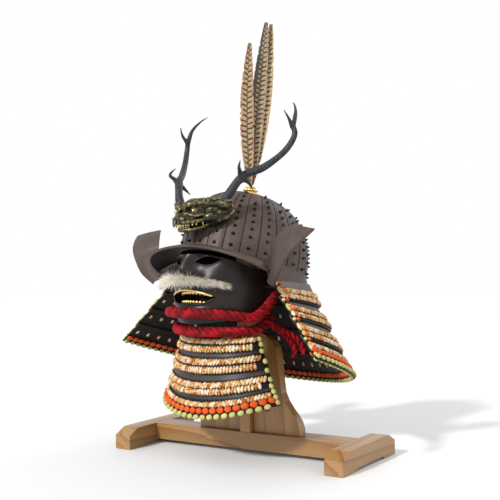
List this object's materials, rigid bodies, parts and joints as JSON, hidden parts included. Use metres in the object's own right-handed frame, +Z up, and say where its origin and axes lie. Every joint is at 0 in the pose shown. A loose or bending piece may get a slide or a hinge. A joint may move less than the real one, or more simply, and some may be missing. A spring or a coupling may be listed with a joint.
{
  "type": "samurai helmet with face mask and throat guard on a wooden display stand",
  "caption": "Ribbed and riveted kabuto with flared laced neck guard, beast crest, antlers and feathers, with mask and throat guard on a pine stand.",
  "frame": {"origin": "on the floor, under the middle of the whole object's box", "axes": "+Z up; the stand's feet run along Y and its beam along X; the mask faces -Y, turned 12.75 degrees about +Z towards -X"},
  "size_m": [0.4882, 0.3196, 0.7624],
  "materials": {
    "russet_iron": "satin brown lacquer over iron, faintly pebbled",
    "black_lacquer": "dark brown-black lacquer, half gloss",
    "gilt": "gilt metal",
    "feather": "barred pheasant tail feather",
    "antler": "dark grey, nearly matt",
    "bronze": "aged bronze with gilt high points",
    "hair": "off-white hair",
    "red_cord": "twisted red silk cord",
    "pine": "clear-varnished pine"
  },
  "bodies": {
    "root": {"stand_foot_left": "pine", "stand_foot_right": "pine", "stand_beam": "pine", "stand_board": "pine", "stand_rib": "pine", "stand_post": "pine", "bowl_plates_1": "russet_iron", "bowl_plates_2": "russet_iron", "bowl_plates_3": "russet_iron", "bowl_plates_4": "russet_iron", "bowl_plates_5": "russet_iron", "bowl_plates_6": "russet_iron", "bowl_plates_7": "russet_iron", "bowl_plates_8": "russet_iron", "peak": "russet_iron", "crown_ornament": "gilt", "flap_left": "russet_iron", "flap_right": "russet_iron", "neck_band": "russet_iron", "neck_lame_1": "russet_iron", "neck_lame_2": "russet_iron", "neck_lame_3": "russet_iron", "neck_lame_4": "russet_iron", "beast_crest": "bronze", "antler_left": "antler", "antler_right": "antler", "feather_1": "feather", "feather_2": "feather", "feather_3": "feather", "mask": "black_lacquer", "teeth_upper": "gilt", "teeth_lower": "gilt", "moustache": "hair", "throat_lame_1": "russet_iron", "throat_lame_2": "russet_iron", "throat_lame_3": "russet_iron", "throat_lame_4": "russet_iron", "cord_over_chin": "red_cord", "cord_under_chin": "red_cord"}
  },
  "joints": []
}
